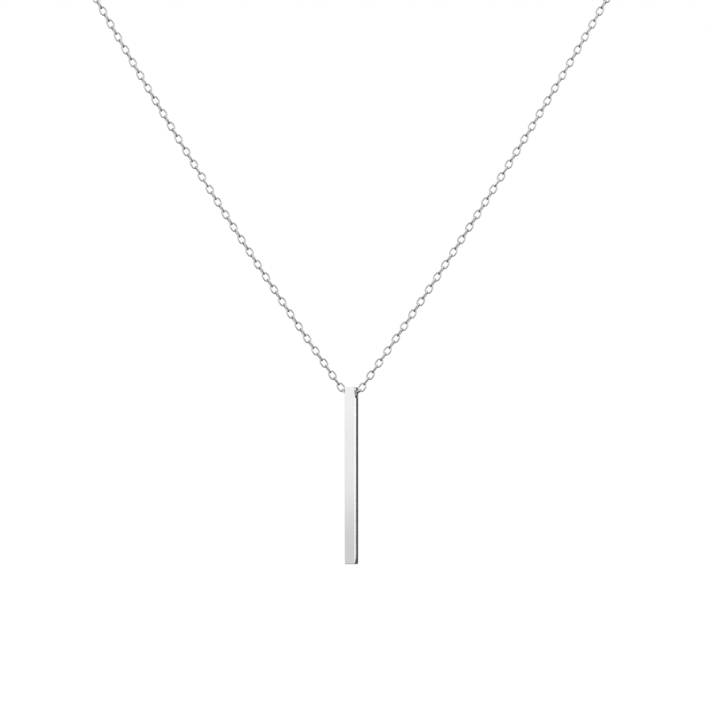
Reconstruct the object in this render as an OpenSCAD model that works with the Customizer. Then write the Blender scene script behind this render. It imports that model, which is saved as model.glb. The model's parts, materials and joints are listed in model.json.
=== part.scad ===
// Necklace with a slender square bar pendant, hanging as it is worn, in millimetres.
// The origin is in the middle of the neck, level with the nape. +Z is up and the bar hangs in front, at -Y.
// The chain runs through a bore near the top of the bar, so the bar needs no bail.

/* [Bar] */
// Length of the bar
bar_l = 45; // [30:0.5:60]
// Width of each of the bar's four sides
bar_w = 2.7; // [2.5:0.05:5]
// Bevel along the bar's edges
bar_bevel = 0.08; // [0.02:0.01:0.15]
// Angle that the bar is turned on the chain, so that its right side shows
bar_turn = 22.3; // [0:0.1:30]
// Distance from the bar's top down to the middle of the bore
bore_drop = 1.8; // [1.6:0.05:4]
// Room between the bore and the widest link that passes through it
bore_clearance = 0.1; // [0.06:0.01:0.2]
// Countersink at the two mouths of the bore
bore_rim = 0.1; // [0:0.01:0.12]

/* [Chain] */
// Distance between the middles of neighbouring links where the chain hangs straight
link_pitch = 1.89; // [1.6:0.01:2.6]
// Inside width of a link
link_in = 1.14; // [1.06:0.02:1.3]
// Thickness of the link wire
wire_d = 0.36; // [0.28:0.01:0.42]
// Gap where two links hang in each other
link_gap = 0.11; // [0.1:0.01:0.15]
// Length of chain on each side that hangs in the flat V in front of the chest
strand_l = 119; // [105:1:125]
// Length of chain on each side from there round the neck to the clasp
neck_l = 102; // [90:1:115]
// Twist of the links away from square to the front
link_twist = 16; // [0:1:20]

/* [Hang] */
// Slope of the first link as it leaves the bar, in degrees
mouth_slope = 36; // [25:1:40]
// Slope of the strands just above the bar, in degrees
low_slope = 54.7; // [50:0.1:58]
// Slope of the strands where they reach the neck, in degrees
high_slope = 60.3; // [58:0.1:64]

/* [Clasp] */
// Radius of the clasp's ring, to the middle of its wire
clasp_r = 2.4; // [2:0.1:3.5]
// Thickness of the clasp's ring
clasp_d = 0.9; // [0.7:0.05:1.1]
// Radius of the clasp's eye, to the middle of its wire
eye_r = 0.8; // [0.7:0.05:1.2]
// Thickness of the eye's wire
eye_d = 0.5; // [0.4:0.02:0.6]
// Length of the stem between the clasp's ring and its eye
stem_l = 0.5; // [0.3:0.1:1]
// Radius of the ring that the clasp closes on, to the middle of its wire
ring_r = 1.6; // [1.4:0.1:2.4]
// Thickness of that ring's wire
ring_d = 0.6; // [0.5:0.05:0.8]

/* [Hidden] */
$fn = 24;

silver = [0.86, 0.86, 0.87];

// Middle line of a link: two half circles joined by two straight sides
link_w = link_in + 2 * wire_d;
bend_r = (link_in + wire_d) / 2;
link_l = link_pitch + wire_d + link_gap;
side_l = link_l - 2 * bend_r;

// Links in each strand of the V, and on each whole side. An odd number there makes the last ones lie
// flat at the clasp.
strand_links = round(strand_l / link_pitch);
side_links = 2 * round((strand_l + neck_l) / (2 * link_pitch) - 1 / 2) + 1;

bore_d = link_w + 2 * bore_clearance;
bore_way = [cos(bar_turn), -sin(bar_turn), 0];

// Clasp parts along X at the nape, from the right chain's extra link to the left chain's last one
end_hook = (wire_d + link_gap) / 2;
ring_at = end_hook - (wire_d + ring_d) / 2 - link_gap + ring_r;
clasp_at = ring_at + ring_r - (ring_d + clasp_d) / 2 - link_gap + clasp_r;
eye_at = clasp_at + clasp_r + clasp_d / 2 + stem_l + eye_d / 2 + eye_r;
left_at = eye_at + eye_r - (eye_d + wire_d) / 2 - link_gap + end_hook;
clasp_half = (link_pitch + left_at) / 2;

// Heading and slope of the chain round the neck, by share of the way from the strand's end to the clasp.
// A heading of 0 is straight out to the side, 90 is straight back and 180 is in towards the nape.
NECK_HEADING = [[0, 0], [0.05, 30], [0.16, 103], [0.35, 125], [0.7, 147], [1, 180]];
NECK_SLOPE = [[0, 1], [0.16, 0.56], [0.35, 0.27], [0.7, 0.05], [1, 0]];

// Twist of the links by share of the way up the strand, as shares of link_twist. Past 1 is round the neck.
LINK_TWIST = [[0.02, 0], [0.05, 0.6], [0.2, 1], [0.28, 0.8], [0.4, 1], [0.52, 0.9],
    [0.57, 0.4], [0.62, 0.9], [0.8, 0.9], [1, 1], [1.7, 0]];

// Running totals of a list, starting from a given value, and its sum
function totals(list, start) =
    [for (i = 0, at = start; i <= len(list); at = at + (i < len(list) ? list[i] : start), i = i + 1) at];
function total(list) = totals(list, 0 * list[0])[len(list)];

function way(heading, slope) =
    [cos(slope) * cos(heading), cos(slope) * sin(heading), sin(slope)];

// Distance from the joint of two links to each one's end wire. Where the chain bends there, the links
// are drawn together, so that each wire still lies link_gap clear inside the other link's round end.
seat_r = bend_r - wire_d - link_gap;
function hook(a, b) =
    (bend_r - sqrt(bend_r ^ 2 - 2 * (bend_r ^ 2 - seat_r ^ 2) / (1 + a * b))) / 2;

// Direction of link k in a strand, where the tangent of a hanging chain's slope grows evenly.
// The first lead_links links turn it from the bore's heading to the plane of the V.
lead_links = 2;
function strand_slope(k) = k == 1 ? mouth_slope
    : atan(tan(low_slope) + (tan(high_slope) - tan(low_slope)) * k / strand_links);
function strand_way(k) = way(-bar_turn * max(0, 1 - (k - 1) / lead_links), strand_slope(k));

// Direction of link i round the neck
neck_links = side_links - strand_links;
function neck_way(i) = let (share = (i - 0.5) / neck_links)
    way(lookup(share, NECK_HEADING), high_slope * lookup(share, NECK_SLOPE));

// Directions of the right side's links, and the steps from joint to joint, starting in the bore
plain_ways = [for (k = [1:side_links]) k <= strand_links ? strand_way(k) : neck_way(k - strand_links)];
hooks = [for (k = [0:side_links - 1]) hook(k == 0 ? bore_way : plain_ways[k - 1], plain_ways[k])];
bore_step = link_l / 2 - hooks[0];
steps = [for (k = [1:side_links]) link_l - hooks[k - 1] - (k < side_links ? hooks[k] : end_hook)];
function side_total(first, last) = total([for (k = [first:last]) steps[k - 1] * plain_ways[k - 1]]);

// The strand leaves the turned bar off the middle plane, and drifts back to it by its upper end
lead_out = bore_step * bore_way + side_total(1, lead_links);
hang_sum = side_total(lead_links + 1, strand_links);
strand_drift = asin(-lead_out.y / hang_sum.x);
strand_x = lead_out.x + hang_sum.x * cos(strand_drift);

// The neck part turns about its start, so that it ends beside the clasp
neck_sum = side_total(strand_links + 1, side_links);
neck_turn = acos((clasp_half - strand_x) / norm([neck_sum.x, neck_sum.y])) - atan2(neck_sum.y, neck_sum.x);

function turned(v, angle) =
    [v.x * cos(angle) - v.y * sin(angle), v.x * sin(angle) + v.y * cos(angle), v.z];

// Directions of the links on one side, and the joints between them. The strands leave the turned bar
// on opposite faces of the middle plane, and round the neck the two sides are alike.
function side_way(k, side) = let (w = turned(plain_ways[k - 1],
        k <= lead_links ? 0 : k <= strand_links ? strand_drift : neck_turn))
    [side * w.x, k <= strand_links ? side * w.y : w.y, w.z];
function side_ways(side) = [for (k = [1:side_links]) side_way(k, side)];
function side_joints(side) = let (ways = side_ways(side))
    totals([for (k = [1:side_links]) steps[k - 1] * ways[k - 1]], side * bore_step * bore_way);

// The bore lies in front of the neck and below the nape
nape = side_joints(1)[side_links];
bore_at = [0, -nape.y / 2, -nape.z];
nape_at = bore_at + [0, nape.y, nape.z];

// One link in its own frame: long along X, flat across Z
module link() {
    for (end = [-1, 1])
        translate([end * side_l / 2, 0, 0])
            rotate_extrude(angle = 180, start = end * 90 - 180)
                translate([bend_r, 0]) circle(d = wire_d);
    for (side = [-1, 1])
        translate([0, side * bend_r, 0])
            rotate([0, 90, 0]) cylinder(d = wire_d, h = side_l, center = true);
}

// A link at a place, along a direction, rolled about it from facing outwards
module placed_link(at, along, roll) {
    outward = cross(along, [0, 0, 1]) / norm(cross(along, [0, 0, 1]));
    across = cross(outward, along);
    face = cos(roll) * outward + sin(roll) * across;
    edge = cross(face, along);
    multmatrix([[along.x, edge.x, face.x, at.x],
                [along.y, edge.y, face.y, at.y],
                [along.z, edge.z, face.z, at.z],
                [0, 0, 0, 1]])
        link();
}

// Every second link stands square to its neighbours
function roll(k) = 90 * k + link_twist * lookup(k / strand_links, LINK_TWIST);

module side_chain(side) {
    ways = side_ways(side);
    joints = side_joints(side);
    for (k = [1:side_links])
        placed_link(bore_at + joints[k - 1] + (link_l / 2 - hooks[k - 1]) * ways[k - 1],
            ways[k - 1], side * roll(k));
}

// A rectangle with its four corners cut off by the bevel
module bevelled(size) {
    difference() {
        square(size, center = true);
        for (x = [-1, 1], y = [-1, 1])
            translate([x * size.x, y * size.y] / 2) rotate(45)
                square(bar_bevel * sqrt(2), center = true);
    }
}

module ring(radius, thickness) {
    rotate_extrude() translate([radius, 0]) circle(d = thickness);
}

// The bar stands in its own frame with the bore's middle at the origin and the bore along X
module bar() {
    color(silver)
        translate(bore_at) rotate([0, 0, -bar_turn]) difference() {
            translate([0, 0, bore_drop - bar_l / 2]) intersection() {
                linear_extrude(bar_l, center = true) bevelled([bar_w, bar_w]);
                rotate([90, 0, 0]) linear_extrude(bar_w, center = true) bevelled([bar_w, bar_l]);
                rotate([90, 0, 90]) linear_extrude(bar_w, center = true) bevelled([bar_w, bar_l]);
            }
            rotate([0, 90, 0]) cylinder(d = bore_d, h = 2 * bar_w, center = true);
            for (mouth = [-1, 1])
                translate([mouth * bar_w / 2, 0, 0]) rotate([0, mouth * 90, 0])
                    cylinder(d1 = bore_d, d2 = bore_d + 4 * bore_rim, h = 2 * bore_rim, center = true);
        }
}

module chain_left() {
    color(silver) {
        placed_link(bore_at, bore_way, 0);
        side_chain(-1);
    }
}

module chain_right() {
    color(silver) {
        side_chain(1);
        placed_link(nape_at + [clasp_half - link_pitch / 2, 0, 0], [-1, 0, 0], roll(side_links + 1));
    }
}

module clasp() {
    color(silver)
        translate(nape_at + [clasp_half - link_pitch, 0, 0]) {
            translate([-clasp_at, 0, 0]) rotate([90, 0, 0]) ring(clasp_r, clasp_d);
            translate([-eye_at, 0, 0]) rotate([90, 0, 0]) ring(eye_r, eye_d);
            translate([eye_r - eye_at, 0, 0]) rotate([0, 90, 0])
                cylinder(d = eye_d, h = eye_at - clasp_at - clasp_r - eye_r);
        }
}

module end_ring() {
    color(silver)
        translate(nape_at + [clasp_half - link_pitch - ring_at, 0, 0]) ring(ring_r, ring_d);
}

bar();
chain_left();
chain_right();
clasp();
end_ring();
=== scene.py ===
import json
import math

import bmesh
import bpy
import numpy as np
from mathutils import Matrix, Vector


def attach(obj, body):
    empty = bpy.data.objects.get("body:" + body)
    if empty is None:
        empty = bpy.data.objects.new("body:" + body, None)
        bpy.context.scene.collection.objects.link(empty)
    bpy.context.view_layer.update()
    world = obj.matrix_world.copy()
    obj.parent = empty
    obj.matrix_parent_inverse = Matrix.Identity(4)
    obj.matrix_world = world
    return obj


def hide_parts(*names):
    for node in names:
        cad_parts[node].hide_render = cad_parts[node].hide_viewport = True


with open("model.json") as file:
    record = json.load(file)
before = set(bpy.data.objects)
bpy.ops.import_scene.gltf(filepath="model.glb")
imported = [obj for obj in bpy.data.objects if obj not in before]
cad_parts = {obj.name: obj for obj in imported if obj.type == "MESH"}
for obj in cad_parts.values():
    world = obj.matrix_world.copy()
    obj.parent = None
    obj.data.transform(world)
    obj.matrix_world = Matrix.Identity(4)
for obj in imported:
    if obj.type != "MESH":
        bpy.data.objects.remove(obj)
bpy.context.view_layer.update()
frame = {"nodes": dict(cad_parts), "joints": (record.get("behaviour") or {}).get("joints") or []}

# Lengths in metres, angles in degrees, unless a comment says otherwise
MM = 0.001

# Points closer than this are one point, and a point closer than this to a face lies on it
SAME_POINT = 0.0001 * MM
ON_FACE = 0.001 * MM

# The photograph, in pixels: its width and middle, the rows of the bar's two ends, and the bore's column
PHOTO_WIDTH = 706
PHOTO_MIDDLE = 353.0
PHOTO_BAR_TOP = 387.4
PHOTO_BAR_BOTTOM = 564.1
PHOTO_BORE_X = 351.5

CAMERA_LENS_MM = 400
CAMERA_SENSOR_MM = 36
# The camera sees from its distance divided by this to its distance times this
CAMERA_CLIP = 10

# The bar: how far its faces bulge, roll over at both ends and turn at the foot, and how round its edges are
FACE_CROWN = 0.02 * MM
END_CROWN = 0.01 * MM
END_ROLL = 0.045 * MM
END_ROLL_LENGTH = 0.6 * MM
FOOT_TURN = 0.08 * MM
FOOT_TURN_LENGTH = 3 * MM
FOOT_TURN_POWER = 3
EDGE_ROUND = 0.07 * MM
RIM_ROUND = 0.07 * MM

# The bar's mesh: the strip left plain beside each edge, the cuts of each stretch, and what counts as an edge
FACE_MARGIN = 0.16 * MM
PATCH_STEPS = 6
ROLL_CUTS = 5
FOOT_CUTS = 6
SHAFT_CUTS = 8
ROUND_STEPS = 4
RIM_STEPS = 3
SHARP_ANGLE = 60

# The bore's wall isn't polished, and its darker tone is painted shade. It goes over into the polished rim
# within the distance BORE_EDGE, so the painted shade also dims the rim's highlight.
BORE_SHADE_TONE = 0.55
BORE_ROUGHNESS = 0.45
BORE_EDGE = 0.08 * MM

# The links: the play between the solids is closed, so that each link hangs on the next
LINK_PLAY = 0.1 * MM
WIRE_SIDES = 6
BEND_STEPS = 5
# A wire with few sides is as thick as the round one in its section's area
WIRE_FILL = math.sqrt(2 * math.pi / WIRE_SIDES / math.sin(2 * math.pi / WIRE_SIDES))

# The silver's looks: a cloud in its tone, the places on the ramp between dark and light, and its fine grain
CLOUD = {"Scale": 350, "Detail": 3, "Roughness": 0.55}
TONE_PLACES = (0.35, 0.65)
GRAIN = {"Detail": 4, "Roughness": 0.6}
GRAIN_STRENGTH = 0.3

FLOOR_DROP = 60 * MM
FLOOR_HALF = 2000 * MM
WHITE = (1, 1, 1, 1)
FLOOR_LOOK = {
    "Base Color": (0.05, 0.05, 0.05, 1), "Roughness": 0.9, "Emission Color": WHITE, "Emission Strength": 1}

# The room's glow in the silver. Its edges are parts of a direction: Y is 1 straight behind, Z is -1 below.
BACKDROP = 1
ROOM_FRONT = 0.58
ROOM_BACK = 0.08
ROOM_BACK_EDGE = (0.698, 0.704)
ROOM_LOW_EDGE = (-0.75, -0.25)
ROOM_LOW_SHARE = 0.05
# The soft boxes dim towards the bar's foot in two stages, given as heights above the fade's foot
LOW_FADE = (0, 22 * MM)
HIGH_FADE = (30 * MM, 43 * MM)
LOW_FADE_SHARE = 0.8


def piece_of(shape, name):
    """A mesh object made from a finished bmesh, smooth all over."""
    bmesh.ops.recalc_face_normals(shape, faces=shape.faces)
    for face in shape.faces:
        face.smooth = True
    mesh = bpy.data.meshes.new(name)
    shape.to_mesh(mesh)
    shape.free()
    piece = bpy.data.objects.new(name, mesh)
    bpy.context.scene.collection.objects.link(piece)
    return piece


def corners_of(node):
    """Every corner point of a CAD node's mesh, and its triangles as rows of three corners."""
    mesh = frame["nodes"][node].data
    points = np.empty(len(mesh.vertices) * 3, np.float32)
    mesh.vertices.foreach_get("co", points)
    triangles = np.empty(len(mesh.loops), np.int32)
    mesh.loops.foreach_get("vertex_index", triangles)
    return points.reshape(-1, 3).astype(float), triangles.reshape(-1, 3)


# Links

def loose_solids(node):
    """The points of each loose solid of a CAD node, an array for each."""
    points, triangles = corners_of(node)
    # Corners that lie at one place are one point
    grid = np.round((points - points.min(axis=0)) / SAME_POINT).astype(np.int64)
    span = grid.max() + 1
    _, first, place_of = np.unique(
        (grid[:, 0] * span + grid[:, 1]) * span + grid[:, 2], return_index=True, return_inverse=True)
    points, triangles = points[first], place_of[triangles]
    solid_of = np.arange(len(points))
    settled = False
    while not settled:
        before = solid_of.copy()
        lowest = solid_of[triangles].min(axis=1)
        for corner in triangles.T:
            np.minimum.at(solid_of, corner, lowest)
        solid_of = solid_of[solid_of]
        settled = np.array_equal(solid_of, before)
    order = np.argsort(solid_of, kind="stable")
    starts = np.flatnonzero(np.diff(solid_of[order])) + 1
    return np.split(points[order], starts)


def link_place(points):
    """A link's matrix, with X along it and Z across its flat side, and its length, width and wire."""
    _, axes = np.linalg.eigh(np.cov((points - points.mean(axis=0)).T))
    along, side = axes[:, 2], axes[:, 1]
    turn = np.array([along, side, np.cross(along, side)])
    local = points @ turn.T
    low, high = local.min(axis=0), local.max(axis=0)
    place = Matrix(turn.T).to_4x4()
    place.translation = Vector((low + high) / 2 @ turn)
    return place, high - low


def link_shape(length, width, wire):
    """One oval link of round wire, flat in XY with its length along X."""
    bend = (width - wire) / 2
    straight = length - width
    shape = bmesh.new()
    bmesh.ops.create_circle(
        shape, segments=WIRE_SIDES, radius=WIRE_FILL * wire / 2,
        matrix=Matrix.Translation((straight / 2, bend, 0)) @ Matrix.Rotation(math.radians(90), 4, "Y"))
    end = [*shape.verts, *shape.edges]
    for half in (1, -1):
        end = bmesh.ops.spin(
            shape, geom=end, cent=(half * straight / 2, 0, 0), axis=(0, 0, 1),
            angle=-math.pi, steps=BEND_STEPS)["geom_last"]
        edges = [part for part in end if isinstance(part, bmesh.types.BMEdge)]
        end = bmesh.ops.extrude_edge_only(shape, edges=edges)["geom"]
        bmesh.ops.translate(
            shape, vec=(-half * straight, 0, 0),
            verts=[part for part in end if isinstance(part, bmesh.types.BMVert)])
        end = [part for part in end if not isinstance(part, bmesh.types.BMFace)]
    bmesh.ops.remove_doubles(shape, verts=shape.verts, dist=ON_FACE)
    mesh = bpy.data.meshes.new("link")
    shape.to_mesh(mesh)
    shape.free()
    return mesh


def linked_chain(node, name):
    """Fine links of round wire, one where each solid link of the node lies."""
    places, sizes = zip(*[link_place(points) for points in loose_solids(node)])
    length, width, wire = np.median(sizes, axis=0)
    link = link_shape(length - LINK_PLAY, width, wire)
    chain = bmesh.new()
    for place in places:
        chain.from_mesh(link)
        chain.verts.ensure_lookup_table()
        bmesh.ops.transform(chain, matrix=place, verts=chain.verts[-len(link.vertices):])
    bpy.data.meshes.remove(link)
    piece = piece_of(chain, name)
    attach(piece, "necklace")
    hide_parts(node)
    return piece


# Bar

hinge = next(joint for joint in frame["joints"] if joint["name"] == "bar_swing")
bore_way = Vector(hinge["axis"]).normalized()
up = Vector((0, 0, 1))
bar_turn = Matrix((bore_way, up.cross(bore_way), up)).transposed()
bar_place = Matrix.Translation(hinge["pos_m"]) @ bar_turn.to_4x4()

bar_points = corners_of("bar")[0]
bar_local = (bar_points - np.array(hinge["pos_m"])) @ np.array(bar_turn)
bar_half = bar_local[:, 0].max()
bar_bottom, bar_top = bar_local[:, 2].min(), bar_local[:, 2].max()
bore_radius = np.hypot(bar_local[:, 1], bar_local[:, 2]).min()
patch_half = bar_half - FACE_MARGIN
bar_low = hinge["pos_m"][2] + bar_bottom
bar_middle = Vector(hinge["pos_m"]) + up * (bar_bottom + bar_top) / 2


def cut_across(shape, axis, places):
    """Cuts the shape at each place along an axis, and leaves an edge loop there."""
    for place in places:
        bmesh.ops.bisect_plane(
            shape, geom=[*shape.verts, *shape.edges, *shape.faces], dist=SAME_POINT,
            plane_co=axis * place, plane_no=axis)


def bore_through(shape):
    """Opens a square patch on both sides of the bar and joins the two with a round bore."""
    rims = []
    for side in (-1, 1):
        patch = [face for face in shape.faces
                 if abs(face.calc_center_median().x - side * bar_half) < ON_FACE
                 and abs(face.calc_center_median().y) < patch_half
                 and abs(face.calc_center_median().z) < patch_half]
        border = [edge for edge in shape.edges
                  if sum(face in patch for face in edge.link_faces) == 1]
        bmesh.ops.delete(shape, geom=patch, context="FACES")
        # The rim has as many corners as the patch's border
        rim = bmesh.ops.create_circle(
            shape, segments=4 * PATCH_STEPS, radius=bore_radius,
            matrix=Matrix.Translation((side * bar_half, 0, 0))
            @ Matrix.Rotation(math.radians(90), 4, "Y") @ Matrix.Rotation(math.radians(45), 4, "Z"))
        rims.append([edge for edge in shape.edges if edge.verts[0] in rim["verts"]])
        bmesh.ops.bridge_loops(shape, edges=border + rims[-1])
    bmesh.ops.bridge_loops(shape, edges=rims[0] + rims[1])
    return rims


def crown(shape):
    """Bulges the faces a little: their edges draw in, and the long faces roll over at both ends. The
    side faces also turn slightly away from the front near the bar's foot."""
    for vert in shape.verts:
        x, y, z = vert.co
        share_x, share_y = x / bar_half, y / bar_half
        from_end = min(z - bar_bottom, bar_top - z)
        roll = END_ROLL * max(0, 1 - from_end / END_ROLL_LENGTH) ** 2
        if abs(x) > bar_half - ON_FACE:
            foot = max(0, 1 - (z - bar_bottom) / FOOT_TURN_LENGTH)
            turn = FOOT_TURN * foot ** FOOT_TURN_POWER * share_y / 2
            vert.co.x -= math.copysign(FACE_CROWN * share_y ** 2 + roll, x) + turn
        if abs(y) > bar_half - ON_FACE:
            vert.co.y -= math.copysign(FACE_CROWN * share_x ** 2 + roll, y)
        if from_end < ON_FACE:
            drop = END_CROWN * (share_x ** 2 + share_y ** 2) / 2
            vert.co.z -= math.copysign(drop, z)


def polished_bar():
    """The bar as a crowned, softly edged square rod with its bore."""
    length = bar_top - bar_bottom
    middle = (bar_top + bar_bottom) / 2
    shape = bmesh.new()
    bmesh.ops.create_cube(
        shape, size=1,
        matrix=Matrix.Translation((0, 0, middle)) @ Matrix.Diagonal((2 * bar_half, 2 * bar_half, length, 1)))
    patch_cuts = np.linspace(-patch_half, patch_half, PATCH_STEPS + 1)
    cut_across(shape, Vector((1, 0, 0)), patch_cuts)
    cut_across(shape, Vector((0, 1, 0)), patch_cuts)
    cut_across(shape, up, patch_cuts)
    cut_across(shape, up, bar_bottom + np.linspace(FACE_MARGIN, END_ROLL_LENGTH, ROLL_CUTS))
    cut_across(shape, up, bar_bottom + np.linspace(END_ROLL_LENGTH, FOOT_TURN_LENGTH, FOOT_CUTS)[1:])
    cut_across(shape, up, [bar_top - FACE_MARGIN])
    # The cuts so far take the place of the shaft's first two and its last
    cut_across(shape, up, np.linspace(bar_bottom, -patch_half, SHAFT_CUTS)[2:-1])
    rims = bore_through(shape)
    bmesh.ops.recalc_face_normals(shape, faces=shape.faces)
    crown(shape)
    rim_edges = rims[0] + rims[1]
    sharp = math.radians(SHARP_ANGLE)
    edges = [edge for edge in shape.edges if edge not in rim_edges and edge.calc_face_angle(0) > sharp]
    bmesh.ops.bevel(
        shape, geom=edges, offset=EDGE_ROUND, offset_type="OFFSET", affect="EDGES",
        segments=ROUND_STEPS, profile=0.5, material=-1)
    rim_edges = [edge for edge in shape.edges if edge.calc_face_angle(0) > sharp]
    rounded = set(bmesh.ops.bevel(
        shape, geom=rim_edges, offset=RIM_ROUND, offset_type="OFFSET", affect="EDGES",
        segments=RIM_STEPS, profile=0.5, material=-1)["faces"])
    # The rim's round ends in a crisp line, so that the side face stays flat beside it
    for edge in {edge for face in rounded for edge in face.edges}:
        edge.smooth = all(face in rounded for face in edge.link_faces)
    bmesh.ops.transform(shape, matrix=bar_place, verts=shape.verts)
    piece = piece_of(shape, "polished_bar")
    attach(piece, "bar")
    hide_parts("bar")
    return piece


# Finishes

def add_node(tree, kind, **settings):
    """A new shader node with its properties and inputs set."""
    node = tree.nodes.new(kind)
    for name, value in settings.items():
        if hasattr(node, name):
            setattr(node, name, value)
        else:
            node.inputs[name.replace("_", " ")].default_value = value
    return node


def faded(tree, socket, start, end, low, high):
    """A value that goes softly from low to high as the socket goes from start to end."""
    fade = add_node(tree, "ShaderNodeMapRange", interpolation_type="SMOOTHSTEP")
    for name, value in (("From Min", start), ("From Max", end), ("To Min", low), ("To Max", high)):
        fade.inputs[name].default_value = value
    tree.links.new(socket, fade.inputs["Value"])
    return fade.outputs["Result"]


def silver(name, light, dark, roughness, grain_scale, grain_stretch, grain_depth):
    """Polished silver: a faint cloud in its tone, and in its gloss and relief the polishing's fine grain."""
    material = bpy.data.materials.new(name)
    material.use_nodes = True
    tree = material.node_tree
    shader = tree.nodes["Principled BSDF"]
    shader.inputs["Metallic"].default_value = 1
    place = add_node(tree, "ShaderNodeTexCoord").outputs["Object"]

    cloud = add_node(tree, "ShaderNodeTexNoise", **CLOUD)
    tree.links.new(place, cloud.inputs["Vector"])
    tone = add_node(tree, "ShaderNodeValToRGB")
    for stop, position, grey in zip(tone.color_ramp.elements, TONE_PLACES, (dark, light)):
        stop.position = position
        stop.color = (grey, grey, grey, 1)
    tree.links.new(cloud.outputs["Fac"], tone.inputs["Fac"])
    tree.links.new(tone.outputs["Color"], shader.inputs["Base Color"])

    stretch = add_node(tree, "ShaderNodeMapping", Scale=grain_stretch)
    tree.links.new(place, stretch.inputs["Vector"])
    grain = add_node(tree, "ShaderNodeTexNoise", Scale=grain_scale, **GRAIN)
    tree.links.new(stretch.outputs["Vector"], grain.inputs["Vector"])
    gloss = add_node(tree, "ShaderNodeMapRange")
    gloss.inputs["To Min"].default_value = roughness[0]
    gloss.inputs["To Max"].default_value = roughness[1]
    tree.links.new(grain.outputs["Fac"], gloss.inputs["Value"])
    tree.links.new(gloss.outputs["Result"], shader.inputs["Roughness"])
    bump = add_node(tree, "ShaderNodeBump", Strength=GRAIN_STRENGTH, Distance=grain_depth)
    tree.links.new(grain.outputs["Fac"], bump.inputs["Height"])
    tree.links.new(bump.outputs["Normal"], shader.inputs["Normal"])
    return material


def shade_and_dull_bore(material):
    """Darkens the wall of the bar's bore as painted shade, and dulls it, since the polishing doesn't reach
    it.
    """
    tree = material.node_tree
    shader = tree.nodes["Principled BSDF"]
    from_bore = add_node(tree, "ShaderNodeVectorMath", operation="SUBTRACT")
    from_bore.inputs[1].default_value = hinge["pos_m"]
    tree.links.new(add_node(tree, "ShaderNodeTexCoord").outputs["Object"], from_bore.inputs[0])
    across = add_node(tree, "ShaderNodeVectorMath", operation="CROSS_PRODUCT")
    across.inputs[1].default_value = bore_way
    tree.links.new(from_bore.outputs["Vector"], across.inputs[0])
    distance = add_node(tree, "ShaderNodeVectorMath", operation="LENGTH")
    tree.links.new(across.outputs["Vector"], distance.inputs[0])
    # The mask is 0 on the bore's wall, where shade is painted into the tone and the gloss is dulled, and 1
    # on the polished faces
    lit_polish = faded(tree, distance.outputs["Value"], bore_radius, bore_radius + BORE_EDGE, 0, 1)
    for name, kind, shade_and_dull in (
            ("Base Color", "RGBA", (BORE_SHADE_TONE, BORE_SHADE_TONE, BORE_SHADE_TONE, 1)),
            ("Roughness", "FLOAT", BORE_ROUGHNESS)):
        mix = add_node(tree, "ShaderNodeMix", data_type=kind)
        shaded_dulled, polished, mixed = [
            [socket for socket in side if socket.enabled and socket.name == label][0]
            for side, label in ((mix.inputs, "A"), (mix.inputs, "B"), (mix.outputs, "Result"))]
        shaded_dulled.default_value = shade_and_dull
        tree.links.new(lit_polish, mix.inputs["Factor"])
        tree.links.new(shader.inputs[name].links[0].from_socket, polished)
        tree.links.new(mixed, shader.inputs[name])


def finish_with(piece, material):
    """Gives a piece one material all over."""
    piece.data.materials.clear()
    piece.data.materials.append(material)


bar_silver = silver(
    "bar_silver", light=0.945, dark=0.935, roughness=(0.05, 0.08),
    grain_scale=4000, grain_stretch=(1, 1, 0.08), grain_depth=0.0002 * MM)
# The bore's wall gets painted shade in its tone and a duller gloss
shade_and_dull_bore(bar_silver)
wire_silver = silver(
    "wire_silver", light=0.88, dark=0.73, roughness=(0.08, 0.16),
    grain_scale=6000, grain_stretch=(1, 1, 1), grain_depth=0.0005 * MM)

finish_with(polished_bar(), bar_silver)
finish_with(linked_chain("chain_left", "links_left"), wire_silver)
finish_with(linked_chain("chain_right", "links_right"), wire_silver)
finish_with(frame["nodes"]["clasp"], wire_silver)
finish_with(frame["nodes"]["end_ring"], wire_silver)


# Studio

def pale_floor():
    """A plain floor under the bar, as white as the backdrop, which doesn't show in the silver."""
    shape = bmesh.new()
    bmesh.ops.create_grid(
        shape, x_segments=1, y_segments=1, size=FLOOR_HALF,
        matrix=Matrix.Translation((0, 0, bar_low - FLOOR_DROP)))
    floor = piece_of(shape, "floor")
    floor.visible_glossy = False
    material = bpy.data.materials.new("pale_floor")
    material.use_nodes = True
    shader = material.node_tree.nodes["Principled BSDF"]
    for name, value in FLOOR_LOOK.items():
        shader.inputs[name].default_value = value
    finish_with(floor, material)


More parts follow.
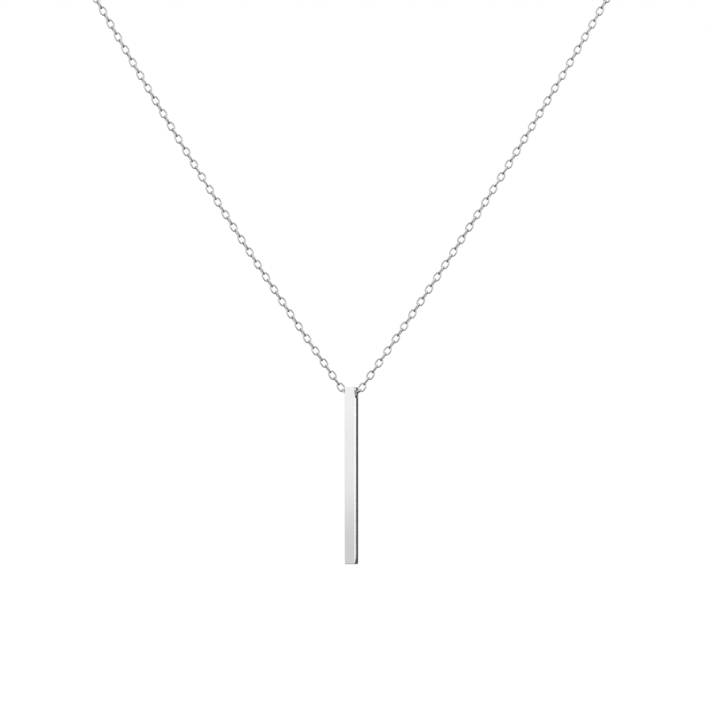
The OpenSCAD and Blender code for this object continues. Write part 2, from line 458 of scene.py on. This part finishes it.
def soft_box(name, turn, rise, distance, back, up_shift, width, height, glow, foot_share, foot_drop):
    """A soft box that faces the bar's middle and shows in the silver, but not to the camera.

    It stands at a turn to the right of the camera and a rise above the bar, and is then moved back and
    up. From foot_drop below the bar's foot and lower, it glows by foot_share of its glow."""
    lamp = bpy.data.lights.new(name, "AREA")
    lamp.shape = "RECTANGLE"
    lamp.size, lamp.size_y = width, height
    lamp.energy = glow * width * height
    lamp.use_nodes = True
    tree = lamp.node_tree
    split = add_node(tree, "ShaderNodeSeparateXYZ")
    tree.links.new(add_node(tree, "ShaderNodeNewGeometry").outputs["Position"], split.inputs["Vector"])
    low_gain = LOW_FADE_SHARE * (1 - foot_share)
    strength = add_node(tree, "ShaderNodeMath", operation="ADD")
    stages = ((LOW_FADE, foot_share, foot_share + low_gain), (HIGH_FADE, 0, 1 - foot_share - low_gain))
    for socket, (heights, low, high) in zip(strength.inputs, stages):
        start, end = [bar_low - foot_drop + height for height in heights]
        tree.links.new(faded(tree, split.outputs["Z"], start, end, low, high), socket)
    tree.links.new(strength.outputs["Value"], tree.nodes["Emission"].inputs["Strength"])
    turn, rise = math.radians(turn), math.radians(rise)
    way = Vector((math.sin(turn) * math.cos(rise), -math.cos(turn) * math.cos(rise), math.sin(rise)))
    box = bpy.data.objects.new(name, lamp)
    box.location = bar_middle + distance * way + Vector((0, back, up_shift))
    box.rotation_euler = (-way).to_track_quat("-Z", "Y").to_euler()
    box.visible_camera = False
    bpy.context.scene.collection.objects.link(box)


def surroundings():
    """A plain white backdrop for the camera. In the silver the room is light in front, and dark behind
    and below."""
    world = bpy.data.worlds.new("studio")
    bpy.context.scene.world = world
    world.use_nodes = True
    tree = world.node_tree
    split = add_node(tree, "ShaderNodeSeparateXYZ")
    tree.links.new(add_node(tree, "ShaderNodeTexCoord").outputs["Generated"], split.inputs["Vector"])
    room = add_node(tree, "ShaderNodeMath", operation="MULTIPLY")
    tree.links.new(faded(tree, split.outputs["Y"], *ROOM_BACK_EDGE, ROOM_FRONT, ROOM_BACK), room.inputs[0])
    tree.links.new(faded(tree, split.outputs["Z"], *ROOM_LOW_EDGE, ROOM_LOW_SHARE, 1), room.inputs[1])
    mirrored = tree.nodes["Background"]
    mirrored.inputs["Color"].default_value = WHITE
    tree.links.new(room.outputs["Value"], mirrored.inputs["Strength"])
    backdrop = add_node(tree, "ShaderNodeBackground", Color=WHITE, Strength=BACKDROP)
    mix = add_node(tree, "ShaderNodeMixShader")
    tree.links.new(add_node(tree, "ShaderNodeLightPath").outputs["Is Camera Ray"], mix.inputs["Fac"])
    tree.links.new(mirrored.outputs["Background"], mix.inputs[1])
    tree.links.new(backdrop.outputs["Background"], mix.inputs[2])
    tree.links.new(mix.outputs["Shader"], tree.nodes["World Output"].inputs["Surface"])


def photo_camera():
    """A long lens level with the middle of the photograph, which looks along +Y."""
    scale = (bar_top - bar_bottom) / (PHOTO_BAR_BOTTOM - PHOTO_BAR_TOP)
    lens = bpy.data.cameras.new("camera")
    lens.lens = CAMERA_LENS_MM
    lens.sensor_width = CAMERA_SENSOR_MM
    distance = PHOTO_WIDTH * scale * CAMERA_LENS_MM / CAMERA_SENSOR_MM
    lens.clip_start, lens.clip_end = distance / CAMERA_CLIP, distance * CAMERA_CLIP
    camera = bpy.data.objects.new("camera", lens)
    camera.location = (
        hinge["pos_m"][0] + (PHOTO_MIDDLE - PHOTO_BORE_X) * scale,
        hinge["pos_m"][1] - distance,
        hinge["pos_m"][2] + bar_top - (PHOTO_MIDDLE - PHOTO_BAR_TOP) * scale)
    camera.rotation_euler = (math.radians(90), 0, 0)
    bpy.context.scene.collection.objects.link(camera)
    bpy.context.scene.camera = camera


pale_floor()
surroundings()
# The bar's front side mirrors the left box, its right side the edge of the right box
soft_box(
    "left_box", turn=-44.6, rise=0, distance=0.25, back=0, up_shift=0.085,
    width=0.26, height=0.32, glow=1.08, foot_share=0.2, foot_drop=2 * MM)
soft_box(
    "right_box", turn=90, rise=0, distance=0.3, back=0.0745, up_shift=0.085,
    width=0.44, height=0.32, glow=1.8, foot_share=0.65, foot_drop=5.5 * MM)
soft_box(
    "top_box", turn=0, rise=90, distance=0.4, back=0, up_shift=0,
    width=0.8, height=0.8, glow=0.9, foot_share=1, foot_drop=0)
photo_camera()
bpy.context.scene.view_settings.view_transform = "Standard"
